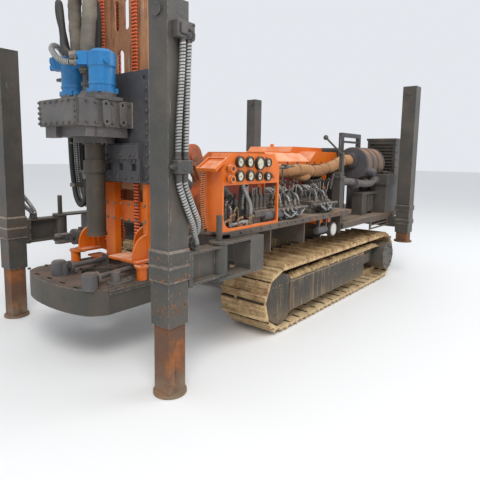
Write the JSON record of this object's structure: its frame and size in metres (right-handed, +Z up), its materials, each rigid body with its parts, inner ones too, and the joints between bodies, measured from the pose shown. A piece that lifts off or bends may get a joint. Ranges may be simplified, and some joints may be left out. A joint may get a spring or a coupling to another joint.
{
  "type": "crawler drilling rig",
  "caption": "Crawler drilling rig with a rotary head on an upright slotted mast, square jack legs on swing arms, a drill table, engine deck and control cabinet.",
  "frame": {"origin": "on the ground under the middle of the machine's overall box", "axes": "+X to the control side, +Y to the rear, +Z up; the drill end is at -Y"},
  "size_m": [2.58, 4.5, 5.72],
  "materials": {
    "track_steel": "dusty",
    "frame_paint": "satin, worn",
    "rusty_steel": "rusty",
    "orange_paint": "gloss",
    "mast_paint": "rusty",
    "engine_paint": "satin",
    "lagging": "matt",
    "gauge_face": "matt",
    "machine_grey": "satin",
    "motor_blue": "gloss",
    "hose_rubber": "matt",
    "dial_white": "satin",
    "rod_chrome": "polished"
  },
  "bodies": {
    "root": {"track_right": "track_steel", "track_left": "track_steel", "side_frames": "frame_paint", "idlers": "track_steel", "final_drives": "frame_paint", "chassis": "frame_paint", "cross_tubes": "frame_paint", "front_beam": "frame_paint", "deck": "rusty_steel", "side_shelf": "rusty_steel", "mast_support": "rusty_steel", "engine": "engine_paint", "hood": "orange_paint", "exhaust_pipe": "lagging", "air_cleaner": "rusty_steel", "radiator": "frame_paint", "oil_cooler": "frame_paint", "oil_pipe": "machine_grey", "fuel_tank": "frame_paint", "hydraulic_tank": "frame_paint", "battery_box": "frame_paint", "side_tank": "engine_paint", "console": "orange_paint", "gauges": "gauge_face", "gauge_faces": "dial_white", "valve_banks": "machine_grey", "valve_hoses": "hose_rubber", "console_hoses": "hose_rubber", "lever_post": "frame_paint", "rear_leg_tubes": "frame_paint", "mast_rest": "frame_paint"},
    "mast": {"mast_beam": "mast_paint", "mast_lugs": "orange_paint", "lift_ears": "orange_paint", "mast_foot": "orange_paint", "feed_chains": "orange_paint", "chain_wheels": "orange_paint", "mast_head": "orange_paint", "breakout_cylinder": "machine_grey", "drill_table": "machine_grey", "table_clamps": "machine_grey"},
    "carriage": {"carriage": "machine_grey", "gearbox": "machine_grey", "drive_motors": "motor_blue", "swivel": "machine_grey", "head_hoses": "hose_rubber"},
    "spindle": {"spindle": "rusty_steel"},
    "arm_right": {"swing_arm_right": "frame_paint", "front_leg_tube_right": "frame_paint", "leg_hoses_right": "hose_rubber"},
    "arm_left": {"swing_arm_left": "frame_paint", "front_leg_tube_left": "frame_paint", "leg_hoses_left": "hose_rubber"},
    "front_leg_right": {"front_leg_right": "rusty_steel"},
    "front_leg_left": {"front_leg_left": "rusty_steel"},
    "rear_leg_right": {"rear_leg_right": "rusty_steel"},
    "rear_leg_left": {"rear_leg_left": "rusty_steel"},
    "lift_barrels": {"lift_barrels": "machine_grey"},
    "lift_rods": {"lift_rods": "rod_chrome"}
  },
  "joints": [
    {"name": "mast_tilt", "type": "hinge", "parent": "root", "child": "mast", "pos_m": [0, -1.2, 1.475], "axis": [-1, 0, 0], "range_deg": [0, 90]},
    {"name": "head_feed", "type": "slide", "parent": "mast", "child": "carriage", "axis": [0, 0, 1], "range_m": [0, 2.95]},
    {"name": "spindle_turn", "type": "hinge", "parent": "carriage", "child": "spindle", "pos_m": [0, -1.83, 1.2], "axis": [0, 0, 1], "continuous": true},
    {"name": "arm_right_swing", "type": "hinge", "parent": "root", "child": "arm_right", "pos_m": [1.03, -1.555, 0.78], "axis": [0, 0, 1], "range_deg": [0, 90]},
    {"name": "arm_left_swing", "type": "hinge", "parent": "root", "child": "arm_left", "pos_m": [-1.03, -1.555, 0.78], "axis": [0, 0, -1], "range_deg": [0, 90]},
    {"name": "front_jack_right", "type": "slide", "parent": "arm_right", "child": "front_leg_right", "axis": [0, 0, -1], "range_m": [-0.4, 0.8]},
    {"name": "front_jack_left", "type": "slide", "parent": "arm_left", "child": "front_leg_left", "axis": [0, 0, -1], "range_m": [-0.4, 0.8]},
    {"name": "rear_jack_right", "type": "slide", "parent": "root", "child": "rear_leg_right", "axis": [0, 0, -1], "range_m": [0, 0.95]},
    {"name": "rear_jack_left", "type": "slide", "parent": "root", "child": "rear_leg_left", "axis": [0, 0, -1], "range_m": [0, 0.95]},
    {"name": "lift_swing", "type": "hinge", "parent": "root", "child": "lift_barrels", "pos_m": [0, -0.3, 0.92], "axis": [-1, 0, 0], "range_deg": [0, 2.1]},
    {"name": "lift_stroke", "type": "slide", "parent": "lift_barrels", "child": "lift_rods", "axis": [0, -0.7797, 0.6262], "range_m": [-0.292, 0]}
  ],
  "couplings": [
    {"joint": "lift_swing", "follows": "mast_tilt", "ratio": 0.017704},
    {"joint": "lift_stroke", "follows": "mast_tilt", "m_per_rad": -0.18268}
  ]
}
